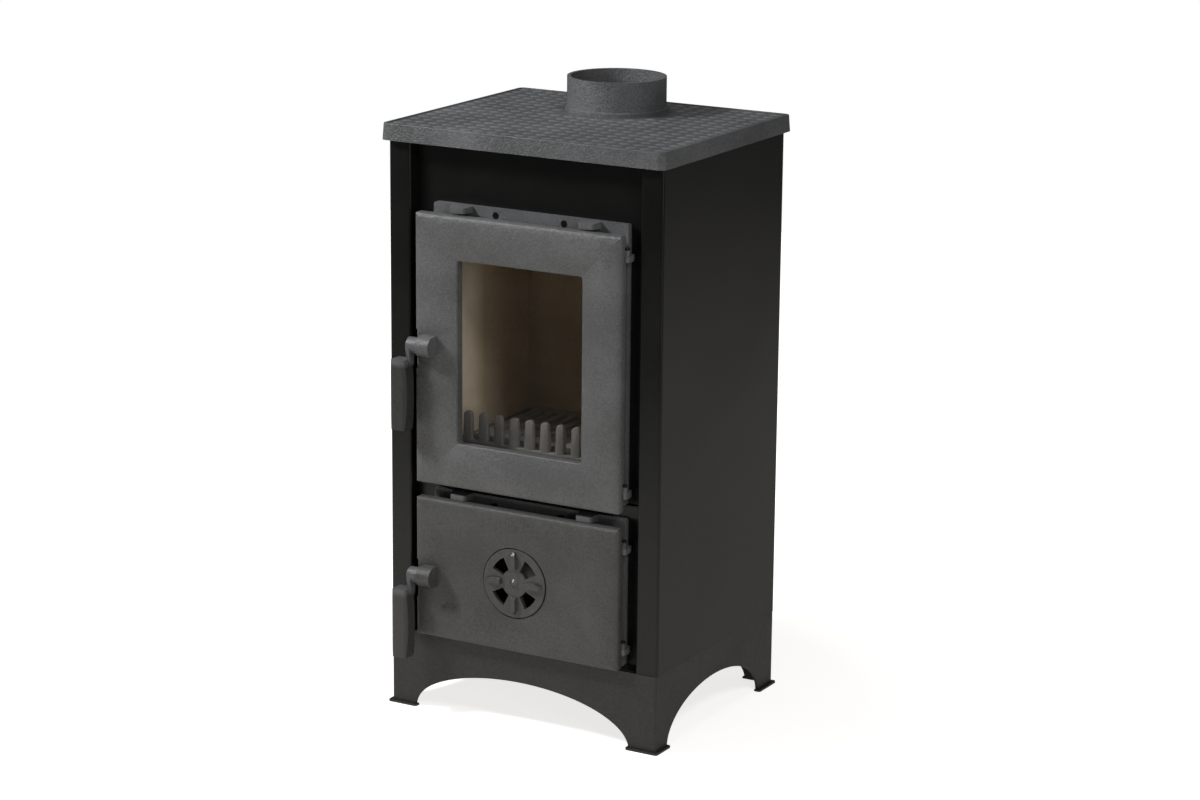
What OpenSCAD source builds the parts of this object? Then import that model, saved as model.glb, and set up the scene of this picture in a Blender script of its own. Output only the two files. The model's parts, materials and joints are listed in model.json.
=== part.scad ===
// Small steel-cased room stove with cast-iron doors, hob plate and arched plinth.
// Millimetres, +Z up, front towards -Y, origin on the floor under the middle of the casing.

/* [Casing] */
// Width of the steel casing
case_w = 369; // [352:1:388]
// Depth of the steel casing
case_d = 299; // [285:1:315]
// Height of the casing above the plinth
case_h = 616.6; // [605:0.2:640]
// Thickness of the casing sheet
sheet_t = 1.5; // [1:0.1:2]
// Outside radius of the sheet bends
bend_r = 3; // [2.2:0.1:5]
// Width of each front column
column_w = 29.5; // [26:0.5:31]
// How far the column's return folds back
return_d = 30; // [24:0.5:36]
// Width of the casing's rear flanges
flange_w = 20; // [15:0.5:26]
// How far the front panel lies behind the columns
recess_d = 15.2; // [13:0.2:17]

/* [Plinth] */
// Height of the plinth
base_h = 95; // [88:1:110]
// Wall of the plinth casting
base_wall = 4; // [3:0.25:5]
// How far the plinth's sides lie inside the casing's
base_inset = 1; // [0.5:0.25:2]
// How far the plinth stands in front of the casing, and behind it
base_fore = 1; // [0:0.25:1.5]
// Corner radius of the plinth
base_r = 3; // [2:0.5:6]
// Width of the ledge inside the plinth
ledge_w = 22; // [18:0.5:26]
// Thickness of the ledge
ledge_t = 4; // [3:0.5:6]
// Width of the legs seen from the front
leg_front_w = 34.5; // [32:0.5:46]
// Width of the legs seen from the side
leg_side_w = 33; // [28:0.5:40]
// Height of the front and rear arches
arch_front_h = 55.5; // [50:0.5:64]
// Height of the side arches
arch_side_h = 57.5; // [50:0.5:64]
// Sideways shift of the front arch
arch_shift = -1.5; // [-6:0.5:6]
// Forward shift of the side arches
arch_fore = 4; // [0:0.5:6]
// How far the feet turn out
foot_out = 4; // [3:0.5:8]
// How far the feet run past the legs' inner edges
foot_end = 3; // [2:0.5:6]
// Thickness of the feet
foot_t = 2.5; // [2:0.25:4]
// Thickness of the floor plate
floor_t = 3; // [2:0.25:4]

/* [Hob plate] */
// Thickness of the hob plate
plate_t = 5; // [4:0.25:7]
// Height of the plate's lip, top face included
lip_h = 20; // [16:0.5:26]
// Wall of the lip
lip_t = 3.5; // [2.5:0.25:4]
// Draft of the lip over its height
lip_draft = 1.5; // [0.5:0.25:2]
// Overhang of the plate at the sides
over_side = 6; // [5.5:0.25:9]
// Overhang of the plate at the front
over_front = 11; // [8:0.5:14]
// Overhang of the plate at the rear
over_rear = 9.5; // [7:0.5:12]
// Corner radius of the plate
plate_r = 9; // [6:0.5:12]
// Chamfer of the plate's top edge
plate_edge = 0.8; // [0.5:0.1:1.2]
// Width of the plain rim round the patterned field
rim_w = 4; // [3:0.5:10]
// Depth of the patterned field under the rim
field_d = 0.8; // [0.4:0.1:1.2]
// Radius of the tie rods
rod_r = 3; // [2.5:0.25:4]
// Distance of the tie rods from the casing's outside
rod_inset = 14; // [12.5:0.5:15]
// Length of the bosses that take the tie rods
boss_h = 15; // [12:0.5:20]

/* [Flue collar] */
// Outside diameter of the collar
collar_od = 120; // [110:1:130]
// Wall of the collar
collar_wall = 4.5; // [3.5:0.25:6]
// Height of the collar above the plate
collar_h = 41; // [35:1:60]
// Sideways place of the collar
collar_x = -4; // [-10:1:10]
// Distance of the collar's axis from the casing's back
collar_back = 75.5; // [72:0.5:80]
// Height of the bead round the collar's foot
bead_h = 5; // [3:0.5:8]
// How far the bead stands out
bead_out = 2; // [1:0.25:3]
// Reach of the collar's inner fixing ears
ear_reach = 14; // [12:0.5:16]
// Thickness of the fixing ears
ear_t = 5; // [4:0.5:7]

/* [Doors] */
// Distance of the doors' edges from the casing's sides
door_inset = 45; // [44:0.1:47]
// Sideways shift of the doors
door_x = -1.4; // [-2:0.2:0]
// Height of the upper door
upper_h = 328.6; // [310:0.2:332]
// Height of the lower door
lower_h = 173.3; // [166:0.1:180]
// Gap under the lower door
door_foot = 2; // [1:0.2:4]
// Gap between the doors
door_gap = 17.4; // [16.4:0.2:24]
// How far the doors' outer edges stand in front of the columns
door_proud = 14; // [12:0.5:16]
// Depth of the doors' front layer
door_t = 11; // [9.5:0.25:12]
// Thickness of the doors' face
face_t = 7; // [6:0.25:8]
// Width of the doors' rear skirt
skirt_w = 5.5; // [5.5:0.25:7]
// Rounding of the doors' outer edge
edge_r = 3; // [1.5:0.25:4]
// Corner radius of the doors
door_r = 4; // [3:0.5:6]
// Rise of the crowned rails over their chord
crown = 2.2; // [1:0.1:3]
// How far the inner edge of the rails lies behind the outer edge
rail_drop = 2.5; // [1:0.1:3]
// Width of the upper door's left rail
upper_rail_left = 56.4; // [54:0.1:58]
// Width of the upper door's right rail
upper_rail_right = 53.6; // [52:0.1:56]
// Width of the upper door's top and bottom rails
upper_rail_end = 53.5; // [52:0.5:56]
// Corner radius of the window
window_r = 4; // [2:0.5:8]
// Chamfer of the window's edge
window_edge = 1.2; // [0.6:0.1:1.6]
// Width of the lower door's left rail
lower_rail_left = 44; // [40:0.5:48]
// Width of the lower door's right rail
lower_rail_right = 51; // [47:0.5:54]
// Width of the lower door's top rail
lower_rail_top = 53.8; // [48:0.1:56]
// Width of the lower door's bottom rail
lower_rail_bottom = 49; // [44:0.5:54]

/* [Seals and glass] */
// Diameter of the sealing ropes
rope_d = 8; // [7:0.25:9]
// Side play of the rope in its groove
rope_play = 0.5; // [0.3:0.1:1]
// Thickness of the ribs beside the groove
rib_t = 4; // [3:0.25:5]
// Distance of the rope's outer rib from the door's left edge
rib_left = 15; // [13:0.2:17]
// Distance of the rope's outer rib from the door's right edge
rib_right = 5.2; // [5:0.1:6]
// Distance of the rope's outer rib from the door's top and bottom
rib_end = 9; // [8:0.25:10]
// Gap between the doors' ribs and their frames
rib_gap = 2.2; // [1.6:0.1:3]
// Gap between the rope and its frame
seal_gap = 0.3; // [0.2:0.05:0.5]
// Thickness of the glass
glass_t = 4; // [3:0.25:5]
// Overlap of the glass behind the window's edge
glass_lap = 13; // [10:0.5:14]
// Thickness of the glass gasket
gasket_t = 1; // [0.6:0.1:1.5]
// Thickness of the glass clips
clip_t = 1.2; // [1:0.1:1.6]
// Width of the glass clips
clip_w = 14; // [10:0.5:18]

/* [Frames] */
// Thickness of the cast door frames
frame_t = 8; // [7:0.25:9]
// Height of the upper frame above its door
upper_frame_rise = 10.2; // [9:0.1:14]
// Height of the lower frame above its door
lower_frame_rise = 8.5; // [8.2:0.1:9]
// Corner radius of the frames
frame_r = 3; // [2:0.5:6]
// Distance of the lugs from the frame's middle
lug_off = 86.5; // [80:0.5:92]
// Width of the lugs at their root
lug_w = 27; // [22:0.5:32]
// How far the lugs stand out
lug_out = 14; // [9:0.5:15]
// Distance of the frame screws from the frame's middle
screw_off = 46; // [40:1:55]
// Radius of the frame screws' heads
head_r = 4; // [3.5:0.1:4.4]

/* [Hinges] */
// Distance of the hinge axis from the door's edge
hinge_out = 1.2; // [1:0.1:2]
// Distance of the hinge axis in front of the columns
hinge_fore = 2; // [1:0.25:3]
// Radius of the hinge ears
ear_r = 3.4; // [3.2:0.1:4.2]
// Radius of the hinge pins
pin_r = 1.7; // [1.4:0.1:2]
// Running clearance of the hinge pins and spindles
run_fit = 0.05; // [0.02:0.01:0.09]
// Height of a hinge ear
ear_h = 7; // [6:0.25:9]
// Gap between a door's ear and its frame's ear
ear_gap = 0.3; // [0.2:0.05:0.6]
// Height of the upper door's low hinge above the door's foot
upper_hinge_low = 25; // [20:0.5:40]
// Depth of the upper door's high hinge under the door's top
upper_hinge_high = 24; // [20:0.5:50]
// Height of the lower door's low hinge above the door's foot
lower_hinge_low = 25.8; // [20:0.1:35]
// Depth of the lower door's high hinge under the door's top
lower_hinge_high = 24.4; // [20:0.1:35]

/* [Handles] */
// Height of the upper handle's axis above the door's foot
upper_axis_h = 170.3; // [140:0.1:200]
// Height of the lower handle's axis above the door's foot
lower_axis_h = 77.7; // [70:0.1:90]
// Distance of the handle's axis in front of the door's edge
axis_fore = 8; // [6:0.25:9]
// Radius of the handle's lug on the door
lug_r = 12.5; // [11:0.25:14]
// Length of the handle's lug
lug_l = 18.4; // [15:0.2:22]
// Distance of the lug from the door's left edge
lug_in = 12.5; // [11.5:0.1:14]
// Radius of the handle's hub
hub_r = 9.5; // [9:0.25:11]
// Radius of the handle's spindle
spindle_r = 4; // [3:0.25:5]
// Side clearance between hub and lug
hub_gap = 0.4; // [0.3:0.05:0.8]
// Width of the tongue
tongue_w = 4.7; // [4:0.1:5]
// Half thickness of the tongue
tongue_half = 4.5; // [3:0.25:5]
// Distance of the tongue's tip from the axis
tongue_l = 30.5; // [29:0.25:31]
// Depth of the notch in the door's edge
notch_d = 3.4; // [3:0.1:3.8]
// Side clearance of the tongue in the notch
tongue_gap = 0.5; // [0.4:0.05:0.8]
// Width of the grip
grip_w = 22.8; // [20:0.2:26]
// Depth of the grip
grip_d = 18.4; // [15:0.2:22]
// Length of the grip
grip_l = 86; // [75:1:95]
// Drop of the grip's top under the axis
grip_drop = 17; // [14:0.5:20]
// Wall of the grip
grip_wall = 3; // [2.5:0.25:4]
// Bulge of the grip's sides
grip_bulge = 2; // [0.8:0.1:2.4]

/* [Air disc] */
// Diameter of the air disc
disc_d = 84.5; // [80:0.5:88]
// Sideways place of the disc's centre
disc_x = -4; // [-8:0.5:4]
// Height of the disc's centre above the lower door's foot
disc_h = 85.3; // [83:0.1:89]
// Thickness of the air disc
disc_t = 4; // [3:0.25:4.5]
// Gap round the air disc
disc_gap = 1.3; // [0.6:0.1:1.5]
// Gap behind the air disc
disc_back_gap = 0.4; // [0.3:0.05:0.6]
// Inner radius of the air holes
hole_in = 17; // [14:0.5:20]
// Outer radius of the air holes
hole_out = 33; // [30:0.5:35]
// Angle that each air hole spans
hole_angle = 38; // [32:1:40]
// Height of the disc's finger grips
finger_h = 6.5; // [5:0.5:8]
// Width of the disc's finger grips
finger_w = 9; // [7:0.5:10]
// Radius of the disc's rivet
rivet_r = 3; // [2.5:0.25:4]

/* [Firebox] */
// Wall of the firebox shell
shell_t = 3; // [2:0.25:4]
// Distance of the firebox shell from the casing's sides
shell_inset = 39.5; // [37:0.5:42]
// Gap between the shell and the rear panel
shell_back = 4.5; // [3:0.5:8]
// Thickness of the side and rear linings
lining_t = 24; // [20:1:28]
// Distance of the rear lining's face from the casing's middle
lining_face = 62; // [50:1:70]
// Height of the linings
lining_h = 268; // [250:1:275]
// Thickness of the smoke baffle
baffle_t = 20; // [15:1:25]
// Smoke gap in front of the baffle
smoke_gap = 72; // [60:1:90]
// Height of the hearth plate's underside above the lower door
hearth_rise = 55.7; // [53:0.1:64]
// Thickness of the hearth plate
hearth_t = 6; // [5:0.5:8]
// Distance of the grate from the side linings
grate_side = 18; // [14:0.5:28]
// Depth of the grate
grate_d = 150; // [130:2:160]
// Thickness of the grate
grate_t = 6; // [5:0.5:8]
// Width of the grate's slots
slot_w = 8; // [6:0.5:10]
// Number of the grate's slots
slot_n = 11; // [9:1:11]
// Height of the log guard
guard_h = 39; // [34:1:46]
// Number of fingers on the log guard
finger_n = 10; // [8:1:10]
// Distance of the log guard from the side linings
guard_side = 14.7; // [12.5:0.1:25]
// Width of a guard finger at its foot
finger_foot = 15; // [13:0.5:16]
// Width of a guard finger at its top
finger_top = 11; // [8:0.5:12]
// Distance of the log guard behind the front panel
guard_back = 22; // [16:1:30]

/* [Ash drawer] */
// Width of the ash drawer
drawer_w = 205; // [190:1:208]
// Depth of the ash drawer
drawer_d = 240; // [200:1:245]
// Height of the ash drawer
drawer_h = 75; // [60:1:90]
// Thickness of the drawer's sheet
drawer_t = 1.2; // [0.8:0.1:2]
// Height of the drawer runners
runner_h = 24; // [23.5:0.5:30]

/* [Hidden] */
$fn = 48;
arc_fn = 180;
eps = 0.01;

cast_colour = [0.34, 0.35, 0.36];
casing_colour = [0.13, 0.12, 0.12];
plinth_colour = [0.23, 0.23, 0.22];
steel_colour = [0.45, 0.45, 0.46];
board_colour = [0.75, 0.68, 0.55];
rope_colour = [0.82, 0.80, 0.74];
glass_colour = [0.35, 0.27, 0.2, 0.35];

// Depths are measured forwards from the middle of the casing.
half_w = case_w / 2;
half_d = case_d / 2;
panel_d = half_d - recess_d;
frame_front_d = panel_d + frame_t;
rib_back_d = frame_front_d + rib_gap;
edge_d = half_d + door_proud;
skirt_back_d = edge_d - door_t;
face_back_d = edge_d - face_t;
inner_d = edge_d - rail_drop;
hinge_d = half_d + hinge_fore;
axis_d = edge_d + axis_fore;

casing_top = base_h + case_h;
plate_top = casing_top + plate_t;
door_w = case_w - 2 * door_inset;
shell_w = case_w - 2 * shell_inset;
floor_top = base_h + floor_t;
column_in = half_w - column_w;
door_left = door_x - door_w / 2;
door_right = door_x + door_w / 2;
hinge_x = door_right + hinge_out;

// The origin lies under the middle of the whole stove, from grip to hob plate.
grip_back = axis_d - 3;
mid_y = (grip_back + grip_d - half_d - over_rear) / 2;

// Boxes are [left, bottom, right, top] seen from the front.
function grown(b, s) = [b[0] - s, b[1] - s, b[2] + s, b[3] + s];
lower_box = [door_left, base_h + door_foot, door_right, base_h + door_foot + lower_h];
upper_foot = lower_box[3] + door_gap;
upper_box = [door_left, upper_foot, door_right, upper_foot + upper_h];
window_box = [door_left + upper_rail_left, upper_box[1] + upper_rail_end,
    door_right - upper_rail_right, upper_box[3] - upper_rail_end];
panel_box = [door_left + lower_rail_left, lower_box[1] + lower_rail_bottom,
    door_right - lower_rail_right, lower_box[3] - lower_rail_top];
function rib_box(b) = [b[0] + rib_left, b[1] + rib_end, b[2] - rib_right, b[3] - rib_end];
groove_w = rope_d + 2 * rope_play;
rib_total = 2 * rib_t + groove_w;
mouth_gap = 3;
function mouth_box(b) = grown(rib_box(b), -rib_total + mouth_gap);
panel_mouth_gap = 2;
frame_margin = 1;
frame_right = 2.5;
rail_gap = 0.4;
lug_h = 6.5;
lug_drop = 1.5;
foot_r = 3;
head_gap = 0.4;
rail_h = 15;
rail_t = 3;
rail_low = lower_box[3] + lower_frame_rise + rail_gap;
upper_frame_box = [rib_box(upper_box)[0] - frame_margin, rail_low + rail_h + rail_gap,
    rib_box(upper_box)[2] + frame_right, upper_box[3] + upper_frame_rise];
lower_frame_box = [rib_box(lower_box)[0] - frame_margin, floor_top,
    rib_box(lower_box)[2] + frame_right, lower_box[3] + lower_frame_rise];

upper_axis_z = upper_box[1] + upper_axis_h;
lower_axis_z = lower_box[1] + lower_axis_h;
upper_ears = [upper_box[1] + upper_hinge_low, upper_box[3] - upper_hinge_high];
lower_ears = [lower_box[1] + lower_hinge_low, lower_box[3] - lower_hinge_high];
disc_z = lower_box[1] + disc_h;

tongue_right = door_left + notch_d - tongue_gap;
tongue_left = tongue_right - tongue_w;
lug_left = door_left + lug_in;
notch_below = tongue_l + 0.5;
notch_above = 17.5;

seat_rise = 2.8;
seat_d = rib_back_d + seat_rise;
seat_w = glass_lap + 2.5;
glass_back_d = seat_d - gasket_t - glass_t;
clip_off = 5.8;
clip_foot_d = glass_back_d + 2.5;
clip_boss_d = clip_foot_d + clip_t;
clip_boss_r = 5;
clip_reach = 6;
clip_screw_r = 2;
clip_inset = 60;
glass_box = grown(window_box, glass_lap);
clip_spots = [
    for (z = [glass_box[1] + clip_inset, glass_box[3] - clip_inset], s = [0, 1])
        [s == 0 ? glass_box[0] - clip_off : glass_box[2] + clip_off, z, s == 0 ? 0 : 180],
    [0, glass_box[1] - clip_off, 90],
    [0, glass_box[3] + clip_off, 270]];

hearth_low = lower_box[3] + hearth_rise;
hearth_top = hearth_low + hearth_t;
lining_top = hearth_top + lining_h;
shell_in = shell_w / 2 - shell_t;
lining_in = shell_in - lining_t;
grate_w = 2 * (lining_in - grate_side);
finger_pitch = (2 * (lining_in - guard_side) - finger_foot) / (finger_n - 1);
shell_rear = half_d - sheet_t * 2 - shell_back;
panel_back_d = panel_d - sheet_t;
board_gap = 0.5;

// ---- Shared shapes ----

module rounded_rect(b, r) {
    w = b[2] - b[0];
    h = b[3] - b[1];
    translate([b[0] + r, b[1]]) square([w - 2 * r, h]);
    translate([b[0], b[1] + r]) square([w, h - 2 * r]);
    for (x = [b[0] + r, b[2] - r], y = [b[1] + r, b[3] - r]) translate([x, y]) circle(r = r);
}

module ring_rect(b, wall, r) {
    difference() {
        rounded_rect(b, r);
        rounded_rect(grown(b, -wall), max(r - wall, 1));
    }
}

// Stands a drawing up so that its x, y and depth become world x, z and -y.
module upright() {
    rotate([90, 0, 0]) children();
}

// Moves the stove so that its origin lies under its middle.
module stand() {
    translate([0, mid_y, 0]) children();
}

// Extrudes an outline between two depths.
module slab(low, high) {
    translate([0, 0, low]) linear_extrude(high - low) children();
}

// Extrudes an (x, depth) outline between two heights.
module column(low, high) {
    translate([0, high, 0]) rotate([90, 0, 0]) linear_extrude(high - low) children();
}

// A round bar along the height at (x, depth).
module post(x, d, low, high, r) {
    column(low, high) translate([x, d]) circle(r = r);
}

// A round bar along x at (height, depth).
module bar(left, right, h, d, r) {
    translate([left, h, d]) rotate([0, 90, 0]) cylinder(h = right - left, r = r);
}

// A round bar along the depth at (x, height).
module stud(x, h, low, high, r) {
    translate([x, h, low]) cylinder(h = high - low, r = r);
}

// ---- Crowned and mitred door faces ----

// Section of a rail: rounded outer edge, then an arc that falls to the inner edge.
// Rails of other widths are stretched alike, so that they meet on their mitres.
rail_ref = 50;
crown_chord = sqrt(rail_ref * rail_ref + rail_drop * rail_drop);
crown_r = (crown_chord * crown_chord / 4 + crown * crown) / (2 * crown);
crown_tilt = atan2(rail_drop, rail_ref);
crown_x = rail_ref / 2 - (crown_r - crown) * sin(crown_tilt);
crown_d = edge_d - rail_drop / 2 - (crown_r - crown) * cos(crown_tilt);
corner_d = crown_d + sqrt(crown_r * crown_r - (edge_r - crown_x) * (edge_r - crown_x)) - edge_r + 0.3;

module rail_section(w, run) {
    scale([w / rail_ref, 1]) intersection() {
        translate([crown_x, crown_d]) circle(r = crown_r, $fn = arc_fn);
        union() {
            translate([0, face_back_d]) square([edge_r, corner_d - face_back_d]);
            translate([edge_r, face_back_d])
                square([run * rail_ref / w - edge_r, face_t + crown * 2]);
            translate([edge_r, corner_d]) circle(r = edge_r);
        }
    }
}

// One rail along x, mitred from its outer corners to its inner corners. The run
// past its inner edge is k times its width.
module rail(len, w, cut_0, cut_1, k) {
    intersection() {
        slab(face_back_d - 1, edge_d + crown * 2)
            polygon([[0, 0], [len, 0], [len - cut_1 * k, w * k], [cut_0 * k, w * k]]);
        rotate([90, 0, 90]) linear_extrude(len) rail_section(w, w * k + 1);
    }
}

module mitred_frame(b, i, k) {
    w = b[2] - b[0];
    h = b[3] - b[1];
    left = i[0] - b[0];
    right = b[2] - i[2];
    low = i[1] - b[1];
    high = b[3] - i[3];
    translate([b[0], b[1], 0]) rail(w, low, left, right, k);
    translate([b[2], b[3], 0]) rotate([0, 0, 180]) rail(w, high, right, left, k);
    translate([b[0], b[3], 0]) rotate([0, 0, -90]) rail(h, left, high, low, k);
    translate([b[2], b[1], 0]) rotate([0, 0, 90]) rail(h, right, low, high, k);
}

// Face, skirt, rope ribs and the rope's bed between them, which both doors share.
module door_shell(b, i, k) {
    intersection() {
        mitred_frame(b, i, k);
        slab(face_back_d - 1, edge_d + crown * 2) rounded_rect(b, door_r);
    }
    slab(skirt_back_d, face_back_d + eps) ring_rect(b, skirt_w, door_r);
    slab(rib_back_d, face_back_d + eps) ring_rect(rib_box(b), rib_t, door_r);
    slab(rib_back_d, face_back_d + eps)
        ring_rect(grown(rib_box(b), -rib_t - groove_w), rib_t, door_r);
    slab(frame_front_d + seal_gap + rope_d, face_back_d + eps)
        ring_rect(grown(rib_box(b), 1 - rib_t), groove_w + 2, 1.5);
}

module door_ears(feet) {
    for (z = feet) {
        column(z, z + ear_h) {
            translate([hinge_x, hinge_d]) circle(r = ear_r);
            translate([hinge_x - 2.4 * ear_r, hinge_d - ear_r + 0.5])
                square([2.4 * ear_r, 2 * ear_r - 0.5]);
        }
    }
}

// Room in the door for the frame's ears, which turn about the same axis.
module frame_ear_room(feet) {
    for (z = feet) {
        post(hinge_x, hinge_d, z - ear_gap * 2 - ear_h, z, ear_r + 0.8);
        post(hinge_x, hinge_d, z - 1, z + ear_h + 1, pin_r + run_fit);
        post(hinge_x, hinge_d, z + ear_h, z + ear_h + 4, ear_r);
    }
}

// Lug on the door that carries the handle's spindle.
module handle_lug(axis_z) {
    bar(lug_left, lug_left + lug_l, axis_z, axis_d, lug_r);
    translate([lug_left, axis_z - lug_r, face_back_d])
        cube([lug_l, 2 * lug_r, axis_d - face_back_d]);
}

// Room in the door for the handle's hub, tongue and spindle.
module handle_room(axis_z) {
    bar(door_left - 5, lug_left, axis_z, axis_d, hub_r + 0.8);
    bar(lug_left - 1, lug_left + lug_l - 3, axis_z, axis_d, spindle_r);
    translate([door_left - 5, axis_z - notch_below, rib_back_d - 1])
        cube([notch_d + 5, notch_below + notch_above, edge_d - rib_back_d + 8]);
}

// Closed rope ring with a round section, seated against the door's face.
module rope_ring(b) {
    c = grown(rib_box(b), -rib_t - groove_w / 2);
    turn = door_r + groove_w / 2;
    d = frame_front_d + seal_gap + rope_d / 2;
    for (x = [c[0], c[2]])
        translate([x, c[1] + turn, d]) rotate([-90, 0, 0])
            cylinder(h = c[3] - c[1] - 2 * turn, r = rope_d / 2);
    for (y = [c[1], c[3]])
        bar(c[0] + turn, c[2] - turn, y, d, rope_d / 2);
    rope_corner([c[0] + turn, c[1] + turn, d], 180, turn);
    rope_corner([c[2] - turn, c[1] + turn, d], 270, turn);
    rope_corner([c[2] - turn, c[3] - turn, d], 0, turn);
    rope_corner([c[0] + turn, c[3] - turn, d], 90, turn);
}

module rope_corner(at, from, turn) {
    translate(at) rotate([0, 0, from])
        rotate_extrude(angle = 90) translate([turn, 0]) circle(r = rope_d / 2);
}

// ---- Plinth and casing ----

module arch_outline(half, h) {
    intersection() {
        scale_arch = h / half;
        multmatrix([[1, 0, 0, 0], [0, scale_arch, 0, 0], [0, 0, 1, 0], [0, 0, 0, 1]])
            circle(r = half, $fn = arc_fn);
        translate([-half, -1]) square([2 * half, h + 2]);
    }
}

module base_plinth() {
    w = case_w - 2 * base_inset;
    d = case_d + 2 * base_fore;
    outer = [-w / 2, -d / 2, w / 2, d / 2];
    color(plinth_colour) stand() {
        difference() {
            union() {
                linear_extrude(base_h) ring_rect(outer, base_wall, base_r);
                translate([0, 0, base_h - ledge_t]) linear_extrude(ledge_t)
                    ring_rect(outer, base_wall + ledge_w, base_r);
            }
            translate([arch_shift, d, 0]) rotate([90, 0, 0])
                linear_extrude(2 * d) arch_outline(w / 2 - leg_front_w, arch_front_h);
            translate([-w, -arch_fore, 0]) rotate([90, 0, 90])
                linear_extrude(2 * w) arch_outline(d / 2 - leg_side_w, arch_side_h);
            tie_rod_holes(base_h - ledge_t - 1, base_h + 1);
        }
        for (sx = [-1, 1], sy = [-1, 1]) plinth_foot(sx, sy, w, d);
    }
}

// A foot is a lip under the leg's walls that turns out on both sides of its corner.
module plinth_foot(sx, sy, w, d) {
    in_x = w / 2 - leg_front_w + sx * arch_shift - foot_end;
    in_y = d / 2 - leg_side_w - sy * arch_fore - foot_end;
    mirror([sx < 0 ? 1 : 0, 0, 0]) mirror([0, sy < 0 ? 1 : 0, 0])
        linear_extrude(foot_t) difference() {
            rounded_rect([in_x, in_y, w / 2 + foot_out, d / 2 + foot_out], foot_r);
            translate([in_x - 1, in_y - 1])
                square([w / 2 - base_wall - in_x + 1, d / 2 - base_wall - in_y + 1]);
        }
}

module tie_rod_spots() {
    for (sx = [-1, 1], sy = [-1, 1])
        translate([sx * (half_w - rod_inset), sy * (half_d - rod_inset), 0]) children();
}

module tie_rod_holes(low, high) {
    tie_rod_spots() translate([0, 0, low]) cylinder(h = high - low, r = rod_r + 0.1);
}

module floor_plate() {
    inset = sheet_t + 0.3;
    color(steel_colour) stand() translate([0, 0, base_h]) linear_extrude(floor_t) {
        translate([-half_w + inset, -half_d + return_d + 0.5])
            square([case_w - 2 * inset, case_d - 2 * return_d - 1]);
        translate([-column_in + 0.3, -panel_d - rail_t])
            square([2 * column_in - 0.6, panel_d + rail_t + half_d - 2 * sheet_t - 0.3]);
    }
}

module side_panel() {
    outline = [column_in, -half_d, half_w, half_d];
    translate([0, 0, base_h]) linear_extrude(case_h) difference() {
        ring_rect(outline, sheet_t, bend_r);
        translate([column_in - 1, -half_d + return_d])
            square([column_w - flange_w + 1, case_d - return_d + 1]);
    }
}

module drilled_side_panel() {
    difference() {
        side_panel();
        rear_screw_spots() rotate([90, 0, 0]) cylinder(h = 3 * sheet_t + 4, r = 2, center = true);
    }
}

module right_side_panel() {
    color(casing_colour) stand() drilled_side_panel();
}

module left_side_panel() {
    color(casing_colour) stand() mirror([1, 0, 0]) drilled_side_panel();
}

rear_half = half_w - bend_r - 0.3;

module rear_panel() {
    color(casing_colour) stand() difference() {
        translate([-rear_half, half_d - 2 * sheet_t, base_h])
            cube([2 * rear_half, sheet_t, case_h]);
        rear_screw_spots() rotate([90, 0, 0]) cylinder(h = 3 * sheet_t + 4, r = 2, center = true);
    }
}

rear_screw_end = 30;
rear_screw_n = 5;

module rear_screw_spots() {
    step = (case_h - 2 * rear_screw_end) / (rear_screw_n - 1);
    for (sx = [-1, 1], k = [0:rear_screw_n - 1])
        translate([sx * (half_w - flange_w / 2), half_d, base_h + rear_screw_end + k * step])
            children();
}

module rear_panel_screws() {
    color(steel_colour) stand() rear_screw_spots() {
        rotate([-90, 0, 0]) cylinder(h = 2, r1 = 4, r2 = 2.6);
        rotate([90, 0, 0]) cylinder(h = 2 * sheet_t + 3, r = 1.9);
    }
}

module front_panel() {
    half = column_in - 0.2;
    color(casing_colour) stand() upright() {
        difference() {
            slab(panel_back_d, panel_d) translate([-half, floor_top])
                square([2 * half, casing_top - floor_top]);
            for (b = [upper_box, lower_box])
                slab(panel_back_d - 1, panel_d + 1)
                    rounded_rect(grown(mouth_box(b), panel_mouth_gap), door_r);
            frame_screw_holes();
            for (sx = [-1, 1]) stud(sx * rail_screw_x, rail_low + rail_h / 2, 0, panel_d + 1, 2.1);
            keeper_screw_holes();
        }
        for (s = [-1, 1])
            translate([s > 0 ? half - sheet_t : -half, floor_top, half_d - return_d])
                cube([sheet_t, casing_top - floor_top, panel_d - half_d + return_d]);
    }
}

rail_screw_x = (column_in + shell_w / 2) / 2 - 0.6;

module cross_rail() {
    half = column_in - 0.3;
    color(casing_colour) stand() upright() difference() {
        slab(panel_d, panel_d + rail_t) translate([-half, rail_low]) square([2 * half, rail_h]);
        for (sx = [-1, 1])
            stud(sx * rail_screw_x, rail_low + rail_h / 2, 0, panel_d + rail_t - 0.7, 2.1);
    }
}

// Driven from behind, so that no head shows between the doors.
module cross_rail_screws() {
    color(steel_colour) stand() upright() for (sx = [-1, 1]) {
        stud(sx * rail_screw_x, rail_low + rail_h / 2, panel_back_d - 2, panel_back_d, 3.5);
        stud(sx * rail_screw_x, rail_low + rail_h / 2, panel_back_d - 1, panel_d + rail_t - 1, 2);
    }
}

// ---- Hob plate and flue collar ----

plate_box = [-half_w - over_side, -half_d - over_front, half_w + over_side, half_d + over_rear];
collar_y = half_d - collar_back;
collar_in = collar_od / 2 - collar_wall;
hole_r = collar_in - 0.5;
tab_w = 18;
bolt_pcr = collar_in - ear_reach / 2;
ear_angles = [90, 210, 330];

// Drafted block with a chamfered top edge.
module plate_block(b, low, high, draft, r, edge) {
    hull() {
        translate([0, 0, low]) linear_extrude(eps) rounded_rect(b, r, $fn = 32);
        translate([0, 0, high - edge]) linear_extrude(eps)
            rounded_rect(grown(b, -draft), r - draft, $fn = 32);
        translate([0, 0, high - eps]) linear_extrude(eps)
            rounded_rect(grown(b, -draft - edge), r - draft - edge, $fn = 32);
    }
}

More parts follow.
